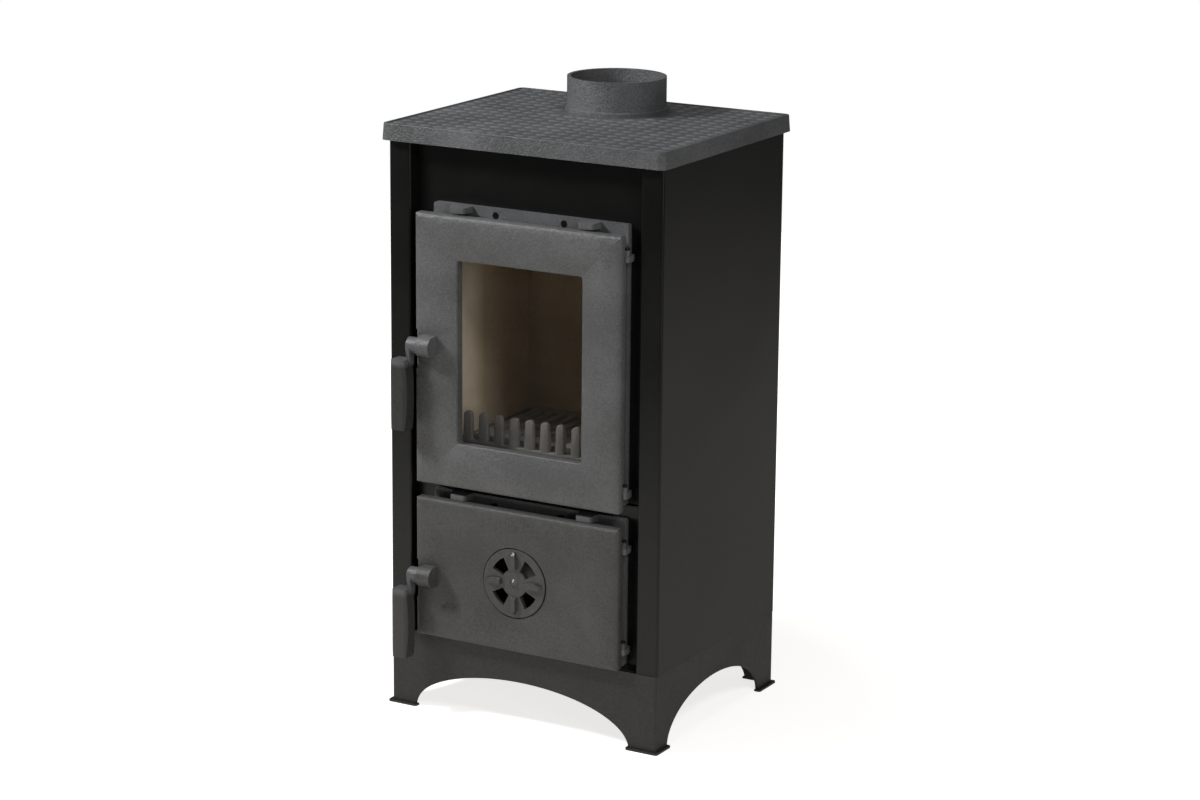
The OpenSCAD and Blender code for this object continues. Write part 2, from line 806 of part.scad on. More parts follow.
module top_plate() {
    inside = grown(plate_box, -lip_t - lip_draft);
    low = plate_top - lip_h;
    color(cast_colour) stand() difference() {
        union() {
            difference() {
                plate_block(plate_box, low, plate_top, lip_draft, plate_r, plate_edge);
                translate([0, 0, low - 1]) linear_extrude(casing_top - low + 1)
                    rounded_rect(inside, plate_r - lip_t);
                translate([0, 0, plate_top - field_d]) linear_extrude(field_d + 1)
                    rounded_rect(grown(plate_box, -lip_draft - rim_w), 2);
            }
            translate([0, 0, casing_top - boss_h]) tie_rod_spots() cylinder(h = boss_h + 1, r = 8);
            translate([collar_x, collar_y, casing_top]) cylinder(h = plate_t, r = collar_od / 2 + 6);
        }
        difference() {
            translate([collar_x, collar_y, casing_top - 1]) cylinder(h = plate_t + 2, r = hole_r);
            collar_ears(casing_top - 2, plate_t + 4);
        }
        collar_bolt_spots() translate([0, 0, casing_top - 1]) cylinder(h = plate_t + 2, r = 3.1);
        tie_rod_holes(casing_top - boss_h - 1, casing_top);
    }
}

// Inward ears at the foot of the collar and the matching tabs of the plate.
module collar_ears(low, h) {
    translate([collar_x, collar_y, low]) for (a = ear_angles) rotate([0, 0, a]) intersection() {
        translate([collar_in - ear_reach, -tab_w / 2, 0]) cube([ear_reach + 2, tab_w, h]);
        cylinder(h = h, r = collar_in + 1);
    }
}

module collar_bolt_spots() {
    translate([collar_x, collar_y, 0]) for (a = ear_angles)
        rotate([0, 0, a]) translate([bolt_pcr, 0, 0]) children();
}

module flue_collar() {
    color(cast_colour) stand() difference() {
        union() {
            translate([collar_x, collar_y, plate_top]) rotate_extrude() {
                translate([collar_in, 0]) square([collar_wall, collar_h]);
                polygon([[collar_in, 0], [collar_od / 2 + bead_out, 0],
                    [collar_od / 2 + bead_out, bead_h - 1], [collar_od / 2, bead_h],
                    [collar_in, bead_h]]);
            }
            collar_ears(plate_top, ear_t);
        }
        collar_bolt_spots() translate([0, 0, plate_top - 1]) cylinder(h = ear_t + 2, r = 3.1);
    }
}

bolt_r = 3;
bolt_past = 9;

module collar_bolts() {
    color(steel_colour) stand() collar_bolt_spots() {
        translate([0, 0, plate_top + ear_t]) cylinder(h = bolt_r * 4 / 3, r = bolt_r * 5 / 3, $fn = 6);
        translate([0, 0, casing_top - bolt_past])
            cylinder(h = plate_t + ear_t + bolt_past + bolt_r / 3, r = bolt_r);
    }
}

module collar_nuts() {
    color(steel_colour) stand() collar_bolt_spots() translate([0, 0, casing_top - 5]) difference() {
        cylinder(h = 5, r = 5.5, $fn = 6);
        translate([0, 0, -1]) cylinder(h = 7, r = 3.05);
    }
}

module tie_rods() {
    color(steel_colour) stand() tie_rod_spots() translate([0, 0, base_h - ledge_t - 10])
        cylinder(h = casing_top - base_h + ledge_t + 8, r = rod_r);
}

module tie_rod_nuts() {
    color(steel_colour) stand() tie_rod_spots() translate([0, 0, base_h - ledge_t - 5]) difference() {
        cylinder(h = 5, r = rod_r * 1.9, $fn = 6);
        translate([0, 0, -1]) cylinder(h = 7, r = rod_r + 0.05);
    }
}

// ---- Firebox ----

module firebox_shell() {
    color(steel_colour) stand() translate([0, 0, floor_top]) linear_extrude(casing_top - floor_top)
        difference() {
            translate([-shell_w / 2, -panel_back_d]) square([shell_w, panel_back_d + shell_rear]);
            translate([-shell_in, -panel_back_d - 1])
                square([2 * shell_in, panel_back_d + 1 + shell_rear - shell_t]);
        }
}

module side_lining() {
    color(board_colour) stand() translate([shell_in - lining_t, -panel_back_d + board_gap, hearth_top])
        cube([lining_t, panel_back_d + shell_rear - shell_t - 2 * board_gap, lining_h]);
}

module right_lining() {
    side_lining();
}

module left_lining() {
    mirror([1, 0, 0]) side_lining();
}

module rear_lining() {
    half = lining_in - board_gap;
    color(board_colour) stand() translate([-half, lining_face, hearth_top])
        cube([2 * half, lining_t, lining_h]);
}

module rear_lining_rails() {
    depth = shell_rear - shell_t - lining_face - lining_t;
    rail_w = 20;
    rail_off = lining_in * 0.63;
    web = 2;
    color(steel_colour) stand() for (s = [-1, 1])
        translate([s * rail_off - rail_w / 2, lining_face + lining_t, hearth_top]) difference() {
            cube([rail_w, depth, lining_h]);
            translate([web, -1, -1]) cube([rail_w - 2 * web, depth + 1 - web, lining_h + 2]);
        }
}

module baffle_plate() {
    half = shell_in - board_gap;
    front = -panel_back_d + smoke_gap;
    color(board_colour) stand() translate([-half, front, lining_top])
        cube([2 * half, shell_rear - shell_t - board_gap - front, baffle_t]);
}

module hearth_ledges() {
    leg = 14;
    color(steel_colour) stand() for (s = [0, 1]) mirror([s, 0, 0])
        translate([shell_in - leg, -panel_back_d + 10, hearth_low - leg]) difference() {
            cube([leg, panel_back_d + shell_rear - shell_t - 20, leg]);
            translate([-1, -1, -1])
                cube([leg - 2, panel_back_d + shell_rear, leg - 2]);
        }
}

grate_y = -20;

module hearth_plate() {
    half = shell_in - board_gap;
    front = -panel_back_d + board_gap;
    seat = 8;
    color(cast_colour) stand() difference() {
        translate([-half, front, hearth_low])
            cube([2 * half, shell_rear - shell_t - board_gap - front, hearth_t]);
        translate([-grate_w / 2 + seat, grate_y - grate_d / 2 + seat, hearth_low - 1])
            cube([grate_w - 2 * seat, grate_d - 2 * seat, hearth_t + 2]);
    }
}

grate_edge = 16;
grate_lip = 9;

module grate() {
    step = (grate_w - 1.5 * grate_edge) / slot_n;
    rib_drop = 10;
    color(cast_colour) stand() translate([0, grate_y, hearth_top]) difference() {
        union() {
            translate([-grate_w / 2, -grate_d / 2, 0]) cube([grate_w, grate_d, grate_t]);
            translate([-grate_w / 2 + grate_lip, -grate_d / 2 + grate_lip, -rib_drop])
                cube([grate_w - 2 * grate_lip, grate_d - 2 * grate_lip, rib_drop + 1]);
        }
        for (k = [0:slot_n - 1])
            translate([(k - (slot_n - 1) / 2) * step - slot_w / 2, -grate_d / 2 + grate_edge,
                    -rib_drop - 1])
                cube([slot_w, grate_d - 2 * grate_edge, grate_t + rib_drop + 2]);
    }
}

module log_guard() {
    half = (finger_n - 1) / 2 * finger_pitch + finger_foot / 2;
    bar_h = 13;
    thick = 8;
    top_r = finger_top / 2;
    color(cast_colour) stand() translate([0, 0, hearth_top]) upright()
        slab(panel_back_d - guard_back, panel_back_d - guard_back + thick) {
            translate([-half - 5, 0]) square([2 * half + 10, bar_h]);
            for (k = [0:finger_n - 1]) translate([(k - (finger_n - 1) / 2) * finger_pitch, 0]) {
                polygon([[-finger_foot / 2, 0], [finger_foot / 2, 0],
                    [top_r, guard_h - top_r], [-top_r, guard_h - top_r]]);
                translate([0, guard_h - top_r]) circle(r = top_r);
            }
        }
}

// ---- Ash drawer ----

drawer_mid = (mouth_box(lower_box)[0] + mouth_box(lower_box)[2]) / 2;
drawer_front = -panel_back_d + 11;

module drawer_runners() {
    web = 2;
    foot = 18;
    color(steel_colour) stand() for (s = [0, 1]) translate([drawer_mid, 0, 0]) mirror([s, 0, 0])
        translate([drawer_w / 2 - foot / 2, drawer_front, floor_top]) difference() {
            cube([foot, drawer_d + 10, runner_h]);
            translate([-1, -1, -1]) cube([foot - web + 1, drawer_d + 12, runner_h - web + 1]);
        }
}

module ash_drawer() {
    rim = 5;
    low = floor_top + runner_h;
    color(steel_colour) stand() translate([drawer_mid - drawer_w / 2, drawer_front, low]) {
        difference() {
            cube([drawer_w, drawer_d, drawer_h]);
            translate([drawer_t, drawer_t, drawer_t])
                cube([drawer_w - 2 * drawer_t, drawer_d - 2 * drawer_t, drawer_h]);
        }
        translate([0, 0, drawer_h - rim]) difference() {
            cube([drawer_w, drawer_d, rim]);
            translate([rim / 2, rim / 2, -1])
                cube([drawer_w - rim, drawer_d - rim, rim + 2]);
        }
    }
}

module ash_drawer_handle() {
    pull_w = 70;
    pull_h = 14;
    pull_out = 9;
    web = 1.5;
    color(steel_colour) stand()
        translate([drawer_mid - pull_w / 2, drawer_front - pull_out,
            floor_top + runner_h + drawer_h / 2]) difference() {
            cube([pull_w, pull_out, pull_h]);
            translate([-1, web, -1]) cube([pull_w + 2, pull_out, pull_h - web + 1]);
        }
}

// ---- Door frames ----

function frame_mid(f) = (f[0] + f[2]) / 2;

module door_frame(b, f, feet) {
    color(cast_colour) stand() upright() difference() {
        union() {
            slab(panel_d, frame_front_d) rounded_rect(f, frame_r);
            for (s = [-1, 1]) frame_lug(s * lug_off, f[3]);
            for (z = feet) frame_ear(z - ear_gap - ear_h, z - ear_gap);
        }
        slab(panel_d - 1, frame_front_d + 1) rounded_rect(mouth_box(b), door_r);
        for (z = feet)
            post(hinge_x, hinge_d, z - ear_gap - ear_h - 1, z + 1, pin_r + run_fit / 2);
        frame_screw_holes();
    }
}

// Lug that stands out over the door's top edge, sloped and narrowed to its nose.
module frame_lug(x, top) {
    nose_w = lug_w - 6;
    root_d = frame_front_d - 1;
    nose_d = frame_front_d + lug_out;
    low = top - lug_drop - lug_h;
    intersection() {
        translate([x + lug_w, 0, 0]) rotate([0, -90, 0]) linear_extrude(2 * lug_w)
            polygon([[root_d, low], [nose_d, low], [nose_d, top - lug_drop], [root_d, top]]);
        column(low - 1, top + 1) {
            polygon([[x - lug_w / 2, root_d], [x + lug_w / 2, root_d],
                [x + nose_w / 2, nose_d - 3], [x - nose_w / 2, nose_d - 3]]);
            translate([x - nose_w / 2 + 3, nose_d - 6]) square([nose_w - 6, 6]);
            for (s = [-1, 1]) translate([x + s * (nose_w / 2 - 3), nose_d - 3]) circle(r = 3);
        }
    }
}

// Ear that carries a hinge pin in front of the frame's right edge.
module frame_ear(low, high) {
    column(low, high) {
        translate([hinge_x, hinge_d]) circle(r = ear_r);
        polygon([[hinge_x - ear_r, hinge_d], [hinge_x + ear_r, hinge_d],
            [hinge_x + ear_r, frame_front_d + 1.5], [hinge_x + 1, panel_d + 1],
            [hinge_x - 9, panel_d + 1], [hinge_x - 9, frame_front_d],
            [hinge_x - ear_r, frame_front_d + 1.5]]);
    }
}

module upper_door_frame() {
    door_frame(upper_box, upper_frame_box, upper_ears);
}

module lower_door_frame() {
    door_frame(lower_box, lower_frame_box, lower_ears);
}

// Screws of the upper frame and those at a frame's foot are sunk: [x, height, sunk].
function frame_screws(top, f, sunk) = [for (s = [-1, 1], low = [0, 1])
    [frame_mid(f) + s * screw_off, low == 1 ? f[1] + 5 : top, low == 1 || sunk]];
upper_screws = frame_screws(upper_box[3] + 2, upper_frame_box, true);
lower_screws = frame_screws(lower_box[3] - 3.5, lower_frame_box, false);
all_frame_screws = concat(upper_screws, lower_screws);

module frame_screw_holes() {
    for (p = all_frame_screws) {
        stud(p[0], p[1], 0, frame_front_d + 1, 2.6);
        if (p[2]) stud(p[0], p[1], frame_front_d - 3, frame_front_d + 1, head_r + head_gap);
    }
}

module frame_screw_set(spots) {
    color(steel_colour) stand() upright() for (p = spots) {
        base = p[2] ? frame_front_d - 3 : frame_front_d;
        stud(p[0], p[1], panel_back_d - 4, base + 0.5, 2.5);
        difference() {
            stud(p[0], p[1], base, base + 3, head_r);
            translate([p[0] - head_r, p[1] - 0.5, base + 2]) cube([2 * head_r, 1, 2]);
        }
    }
}

module upper_frame_screws() {
    frame_screw_set(upper_screws);
}

module lower_frame_screws() {
    frame_screw_set(lower_screws);
}

// ---- Latch keepers and hinge pins ----

keeper_half_h = 16;
keeper_t = 3;
keeper_right = rib_box(upper_box)[0] - frame_margin - 3;
keeper_screw_x = -column_in + 8;

// Plate on the front panel with a shelf that stops the tongue.
module latch_keeper(axis_z) {
    left = -column_in + 4;
    color(cast_colour) stand() upright() difference() {
        union() {
            slab(panel_d, panel_d + keeper_t)
                rounded_rect([left, axis_z - keeper_half_h, keeper_right, axis_z + keeper_half_h], 2);
            slab(panel_d, rib_back_d + 1.5)
                translate([tongue_left - 4, axis_z + tongue_half + 0.5])
                    square([keeper_right - tongue_left + 4, 4]);
        }
        keeper_screw_holes();
    }
}

module keeper_screw_spots() {
    for (a = [upper_axis_z, lower_axis_z], s = [-1, 1])
        translate([keeper_screw_x, a + s * (keeper_half_h - 4), 0]) children();
}

module keeper_screw_holes() {
    keeper_screw_spots() cylinder(h = panel_d + keeper_t + 1, r = 1.6);
}

module upper_latch_keeper() {
    latch_keeper(upper_axis_z);
}

module lower_latch_keeper() {
    latch_keeper(lower_axis_z);
}

module keeper_screws() {
    color(steel_colour) stand() upright() keeper_screw_spots() {
        translate([0, 0, panel_back_d - 2]) cylinder(h = keeper_t + sheet_t + 3, r = 1.5);
        translate([0, 0, panel_d + keeper_t]) cylinder(h = 1.6, r = 2.6);
    }
}

module hinge_pins() {
    color(steel_colour) stand() upright() for (z = concat(upper_ears, lower_ears)) {
        post(hinge_x, hinge_d, z - ear_gap - ear_h, z + ear_h + ear_gap + 1, pin_r);
        post(hinge_x, hinge_d, z + ear_h + ear_gap, z + ear_h + ear_gap + 2.4, pin_r + 1.2);
    }
}

// ---- Upper door ----

// Four bars and four corner rings of lozenge section, centred on the window's edge.
module window_chamfer(b, r, d) {
    for (z = [b[1], b[3]]) bar(b[0] + r, b[2] - r, z, d, window_edge, $fn = 4);
    for (x = [b[0], b[2]]) translate([x, b[1] + r, d]) rotate([-90, 0, 0])
        cylinder(h = b[3] - b[1] - 2 * r, r = window_edge, $fn = 4);
    for (x = [b[0] + r, b[2] - r], z = [b[1] + r, b[3] - r])
        translate([x, z, d]) rotate_extrude() translate([r, 0]) circle(r = window_edge, $fn = 4);
}

module upper_door() {
    color(cast_colour) stand() upright() difference() {
        union() {
            door_shell(upper_box, window_box, 1.1);
            slab(seat_d, face_back_d + eps) ring_rect(grown(window_box, seat_w), seat_w + 1, window_r);
            for (p = clip_spots) stud(p[0], p[1], clip_boss_d, face_back_d + 1, clip_boss_r);
            handle_lug(upper_axis_z);
            door_ears(upper_ears);
        }
        slab(seat_d - 1, edge_d + crown * 2 + 1) rounded_rect(window_box, window_r);
        window_chamfer(window_box, window_r, inner_d);
        for (p = clip_spots) stud(p[0], p[1], clip_boss_d - 1, face_back_d + 1, clip_screw_r + 0.05);
        handle_room(upper_axis_z);
        frame_ear_room(upper_ears);
    }
}

module door_glass() {
    color(glass_colour) stand() upright() slab(glass_back_d, glass_back_d + glass_t)
        rounded_rect(glass_box, 3);
}

module glass_gasket() {
    color(rope_colour) stand() upright() slab(seat_d - gasket_t, seat_d)
        ring_rect(glass_box, glass_lap - 3, 3);
}

// Stepped clip: foot on the boss, tongue behind the glass.
module glass_clips() {
    step_x = clip_off - 1.5;
    color(steel_colour) stand() upright() for (p = clip_spots)
        translate([p[0], p[1], 0]) rotate([0, 0, p[2]]) difference() {
            translate([0, clip_w / 2, 0]) rotate([90, 0, 0]) linear_extrude(clip_w) {
                translate([-clip_boss_r, clip_foot_d]) square([clip_boss_r + step_x + clip_t, clip_t]);
                translate([step_x, glass_back_d - clip_t])
                    square([clip_t, clip_boss_d - glass_back_d + clip_t]);
                translate([step_x, glass_back_d - clip_t]) square([clip_t + clip_reach, clip_t]);
            }
            translate([0, 0, clip_foot_d - 1]) cylinder(h = clip_t + 2, r = clip_screw_r + 0.2);
        }
}

module clip_screws() {
    color(steel_colour) stand() upright() for (p = clip_spots) {
        stud(p[0], p[1], clip_foot_d - 2, clip_foot_d, 3.4);
        stud(p[0], p[1], clip_foot_d - 1, clip_boss_d + 6, clip_screw_r);
    }
}

module upper_door_rope() {
    color(rope_colour) stand() upright() rope_ring(upper_box);
}

// ---- Handles ----

// Spindle fixed in the door's lug, with a head outside the hub.
module handle_spindle(axis_z) {
    color(steel_colour) stand() upright() {
        bar(tongue_left - 1, lug_left + lug_l - 3, axis_z, axis_d, spindle_r - run_fit / 2);
        bar(tongue_left - 2.3, tongue_left - 0.3, axis_z, axis_d, spindle_r + 2.5);
    }
}

module upper_handle_spindle() {
    handle_spindle(upper_axis_z);
}

module lower_handle_spindle() {
    handle_spindle(lower_axis_z);
}

// Plan of the grip: a channel with rounded front corners, open to the rear.
module grip_section() {
    difference() {
        grip_outline();
        intersection() {
            rounded_rect([grip_wall, -20, grip_w - grip_wall, grip_d - grip_wall], 2.5);
            translate([0, -1]) square([grip_w, grip_d]);
        }
    }
}

module grip_outline() {
    difference() {
        rounded_rect([0, -10, grip_w, grip_d], 5);
        translate([-1, -11]) square([grip_w + 2, 11]);
    }
}

// Flat arm, in line with the tongue, that runs from the hub down into the grip's right wall.
module handle_arm(axis_z, grip_top) {
    foot = grip_top - 8;
    translate([tongue_right, 0, 0]) rotate([0, -90, 0]) linear_extrude(tongue_w)
        polygon([[axis_d - hub_r + 1, axis_z], [axis_d + hub_r, axis_z], [axis_d + hub_r, axis_z - 3],
            [axis_d + hub_r - 2.5, grip_top], [axis_d + hub_r - 2.5, foot], [grip_back + 1, foot],
            [grip_back + 1, grip_top], [axis_d - hub_r + 3, axis_z - 4]]);
}

module lift_handle(axis_z) {
    grip_left = tongue_right - 1 - grip_w;
    grip_top = axis_z - grip_drop;
    bulge_r = (grip_l * grip_l / 4 + grip_bulge * grip_bulge) / (2 * grip_bulge);
    hub_right = lug_left - hub_gap;
    color(cast_colour) stand() upright() difference() {
        union() {
            bar(tongue_left, hub_right, axis_z, axis_d, hub_r);
            // Tongue, which reaches past the door's edge to the keeper.
            translate([tongue_left, axis_z - tongue_half, axis_d - tongue_l])
                cube([tongue_w, 2 * tongue_half, tongue_l]);
            handle_arm(axis_z, grip_top);
            intersection() {
                translate([grip_left, 0, grip_back]) {
                    column(grip_top - grip_l, grip_top) grip_section();
                    column(grip_top - grip_wall, grip_top) grip_outline();
                }
                translate([grip_left + bulge_r, grip_top - grip_l / 2, grip_back - 1])
                    cylinder(h = grip_d + 2, r = bulge_r, $fn = arc_fn * 4);
                translate([grip_left + grip_w - bulge_r, grip_top - grip_l / 2, grip_back - 1])
                    cylinder(h = grip_d + 2, r = bulge_r, $fn = arc_fn * 4);
            }
        }
        bar(tongue_left - 3, hub_right + 1, axis_z, axis_d, spindle_r + run_fit / 2);
        bar(tongue_left - 6, tongue_left, axis_z, axis_d, spindle_r + 3.2);
    }
}

module upper_handle() {
    lift_handle(upper_axis_z);
}

module lower_handle() {
    lift_handle(lower_axis_z);
}

// ---- Lower door and air disc ----

pocket_d = face_back_d + 0.2;
disc_low_d = pocket_d + disc_back_gap;
disc_top_d = disc_low_d + disc_t;

// Four holes on the diagonals. Those in the door are larger all round than the disc's.
module air_holes(more) {
    half = hole_angle / 2 + more * 1.5;
    for (a = [45, 135, 225, 315]) rotate([0, 0, a]) intersection() {
        difference() {
            circle(r = hole_out + more);
            circle(r = hole_in - more);
        }
        polygon([[0, 0], [disc_d, -disc_d * tan(half)], [disc_d, disc_d * tan(half)]]);
    }
}

module lower_door() {
    color(cast_colour) stand() upright() difference() {
        union() {
            door_shell(lower_box, panel_box, 1);
            slab(face_back_d, inner_d) rounded_rect(grown(panel_box, 0.5), 1);
            translate([disc_x, disc_z, 0]) slab(skirt_back_d, face_back_d + 1)
                circle(r = disc_d / 2 + 5);
            handle_lug(lower_axis_z);
            door_ears(lower_ears);
        }
        translate([disc_x, disc_z, 0]) {
            slab(pocket_d, edge_d + crown * 2) circle(r = disc_d / 2 + disc_gap);
            slab(skirt_back_d - 1, pocket_d + 1) air_holes(2);
            slab(skirt_back_d - 1, pocket_d + 1) circle(r = rivet_r);
        }
        handle_room(lower_axis_z);
        frame_ear_room(lower_ears);
    }
}

module lower_door_rope() {
    color(rope_colour) stand() upright() rope_ring(lower_box);
}

module air_disc_rivet() {
    color(steel_colour) stand() upright() {
        stud(disc_x, disc_z, skirt_back_d - 2, skirt_back_d, rivet_r + 2.5);
        stud(disc_x, disc_z, skirt_back_d - 1, disc_top_d + 1, rivet_r - run_fit / 2);
        translate([disc_x, disc_z, disc_top_d + 0.3])
            cylinder(h = 3.2, r1 = rivet_r + 2.2, r2 = 1.8);
    }
}

// Radial finger grip: a humped fin, high and blunt inside, that runs out to a narrow nose.
module disc_finger() {
    inner = hole_in;
    outer = disc_d / 2 - 4;
    half = finger_w / 2;
    intersection() {
        rotate([90, 0, 0]) translate([0, 0, -finger_w]) linear_extrude(2 * finger_w)
            polygon([[inner, -0.5], [outer, -0.5], [outer, 1.5], [outer - 4, finger_h * 0.75],
                [inner + 5, finger_h], [inner + 1.5, finger_h * 0.85], [inner, 0.5]]);
        linear_extrude(finger_h + 2, center = true)
            polygon([[inner, -half * 0.7], [inner + 3, -half], [inner + 10, -half],
                [outer, -half * 0.3], [outer, half * 0.3], [inner + 10, half],
                [inner + 3, half], [inner, half * 0.7]]);
        rotate([90, 0, 90]) linear_extrude(outer)
            polygon([[-half, -0.5], [half, -0.5], [half * 0.7, finger_h * 0.72], [1.1, finger_h + 0.1],
                [-1.1, finger_h + 0.1], [-half * 0.7, finger_h * 0.72]]);
    }
}

module air_disc() {
    color(cast_colour) stand() upright() translate([disc_x, disc_z, 0]) difference() {
        union() {
            slab(disc_low_d, disc_top_d) difference() {
                circle(r = disc_d / 2);
                air_holes(0);
            }
            for (a = [0, 90, 180, 270]) translate([0, 0, disc_top_d]) rotate([0, 0, a])
                disc_finger();
        }
        slab(disc_low_d - 1, disc_top_d + 1) circle(r = rivet_r + run_fit / 2);
    }
}

base_plinth();
floor_plate();
left_side_panel();
right_side_panel();
rear_panel();
rear_panel_screws();
front_panel();
cross_rail();
cross_rail_screws();
top_plate();
flue_collar();
collar_bolts();
collar_nuts();
tie_rods();
tie_rod_nuts();
firebox_shell();
left_lining();
right_lining();
rear_lining();
rear_lining_rails();
baffle_plate();
hearth_ledges();
hearth_plate();
grate();
log_guard();
drawer_runners();
ash_drawer();
ash_drawer_handle();
upper_door_frame();
upper_frame_screws();
lower_door_frame();
lower_frame_screws();
upper_latch_keeper();
lower_latch_keeper();
keeper_screws();
hinge_pins();
upper_door();
door_glass();
glass_gasket();
glass_clips();
clip_screws();
upper_door_rope();
upper_handle_spindle();
upper_handle();
lower_door();
lower_door_rope();
air_disc_rivet();
lower_handle_spindle();
air_disc();
lower_handle();
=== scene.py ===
import json
import math

import bmesh
import bpy
from mathutils import Matrix, Vector

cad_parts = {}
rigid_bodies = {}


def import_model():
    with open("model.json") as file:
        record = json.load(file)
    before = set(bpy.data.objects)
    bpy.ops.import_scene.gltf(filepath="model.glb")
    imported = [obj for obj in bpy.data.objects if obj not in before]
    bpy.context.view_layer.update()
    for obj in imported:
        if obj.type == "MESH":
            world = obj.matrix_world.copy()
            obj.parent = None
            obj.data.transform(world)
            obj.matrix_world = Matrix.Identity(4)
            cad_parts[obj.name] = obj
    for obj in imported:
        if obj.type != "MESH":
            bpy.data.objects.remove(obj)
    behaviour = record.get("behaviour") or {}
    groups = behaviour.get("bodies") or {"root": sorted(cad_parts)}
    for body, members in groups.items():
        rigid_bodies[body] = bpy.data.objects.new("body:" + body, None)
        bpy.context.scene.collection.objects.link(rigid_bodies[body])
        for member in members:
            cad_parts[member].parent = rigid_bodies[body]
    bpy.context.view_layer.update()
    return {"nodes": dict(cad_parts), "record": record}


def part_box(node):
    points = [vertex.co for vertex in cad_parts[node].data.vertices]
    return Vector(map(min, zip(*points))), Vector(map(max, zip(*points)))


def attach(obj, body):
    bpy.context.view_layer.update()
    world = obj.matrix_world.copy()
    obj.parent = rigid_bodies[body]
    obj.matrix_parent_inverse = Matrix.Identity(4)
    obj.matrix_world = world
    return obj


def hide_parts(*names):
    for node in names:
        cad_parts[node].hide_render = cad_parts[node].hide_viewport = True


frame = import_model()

MM = 0.001

# Hob plate, in mm
PAD_RADIUS = 7.6                    # half of a lozenge's diagonal
PAD_TOP_SHARE = 0.3                 # of that diagonal, left on the pad's flat top
PAD_RISE = 0.8
PAD_PITCH = (18.4, 17.9)            # across and deep
PAD_COUNTS = (20, 17)
COLLAR_MARGIN = 3                   # round the collar, kept free of pads

# Log guard, in mm
GUARD_FINGERS = 10
GUARD_END = 12.5                    # from the bar's end to the first finger's middle
GUARD_FOOT = 12.3                   # a finger's width where it leaves the bar
GUARD_TOP = 10.2                    # and at its top
GUARD_TOP_SHARE = 0.8               # of a finger's depth, left at its top
GUARD_SHOULDER = 4.2                # radius
GUARD_SHOULDER_STEPS = 5
GUARD_BAR = 4                       # height
GUARD_ROOT = 1                      # where a finger starts, above the bar's underside
BAR_SOFTNESS = 0.8
FINGER_SOFTNESS = 0.9

# Front of a door's casting, in mm
FACE_FRONT = -153.5                 # the depths that it lies between
FACE_BACK = -142
FACE_TURN = -0.05                   # a front face's normal points forward by more than this
DOOR_EAR = 4.6                      # how far the hinge ears reach past it
EDGE_STEPS = (1.9, 2.8, 3.9, 5.2)   # lines cut for the rounded outer edge
EDGE_WIDTH = 6.5
EDGE_DROP = 2.6
SLOPE_WIDTH = 24                    # the shallow slope inside that edge
SLOPE_DROP = 0.9
UPPER_RAILS = (56.4, 53.5, 53.6, 53.5)  # widths of the left, bottom, right and top rail
LOWER_RAILS = (44, 49, 51, 53.8)
UPPER_SINK = 2.0                    # how far the rails sink towards the middle
LOWER_SINK = 1.0
RAIL_CREST = 0.4                    # the share of a rail's width that doesn't sink
SINK_CURVE = 1.5                    # 1 is a straight slope

# Levers, in mm
UPPER_GRIP_TOP = 437                # height where the grip meets the arm
LOWER_GRIP_TOP = 154
GRIP_FADE = 6                       # over which its paint changes

# The turn past which an edge is shaded as a corner, in degrees
MITRE_TURN = 3
DOOR_TURN = 35
GUARD_TURN = 40

# How closely points agree, in mm
SAME_POINT = 0.001
SAME_LINE = 0.1

# Camera, in metres, degrees and mm
CAMERA_PLACE = (1.9651, -3.39655, 1.3771)
CAMERA_AZIMUTH = 29.711
CAMERA_ELEVATION = 14.321
CAMERA_ROLL = 0.538
CAMERA_LENS = 100.756
CAMERA_SENSOR = 36

# Studio, in metres and watts
FLOOR_SIZE = 4.0
FLOOR_MIDDLE = (0.1, 0.7, 0)
STOVE_MIDDLE = (0, 0, 0.4)          # where each lamp points
LAMPS = {
    "key": {"place": (-1.1, -0.85, 1.5), "side": 0.3, "power": 25},
    "over": {"place": (0.0, -0.2, 2.2), "side": 1.2, "power": 7.2},
    "right_high": {"place": (1.27, -0.89, 1.54), "side": 0.4, "power": 7.8},
    "right_low": {"place": (1.9, -1.3, 0.7), "side": 0.5, "power": 4.8},
}
FLOOR_LIGHT = 0.185                 # how strongly the floor and the backdrop light the stove
SKY_LIGHT = 0.025
UNDER_STOVE = 0.6                   # of the white that the camera sees, left under the stove
WHITE_FLOOR = (0.35, 0.9)           # distances between which that grows to full white
MIRRORED = 0.05                     # of the white backdrop, seen in reflections

WHITE = (1, 1, 1, 1)
MIDDLING = (0.35, 0.65)             # where most of a noise pattern's values lie


# ---------------------------------------------------------------- shader expressions

class Signal:
    """A socket that works in Python sums: each operator adds a Math node."""

    def __init__(self, recipe, socket):
        self.recipe = recipe
        self.socket = socket

    def _sum(self, operation, other):
        return self.recipe.node("Math", {"operation": operation}, {0: self, 1: other})

    def __add__(self, other):
        return self._sum("ADD", other)

    __radd__ = __add__

    def __mul__(self, other):
        return self._sum("MULTIPLY", other)

    __rmul__ = __mul__


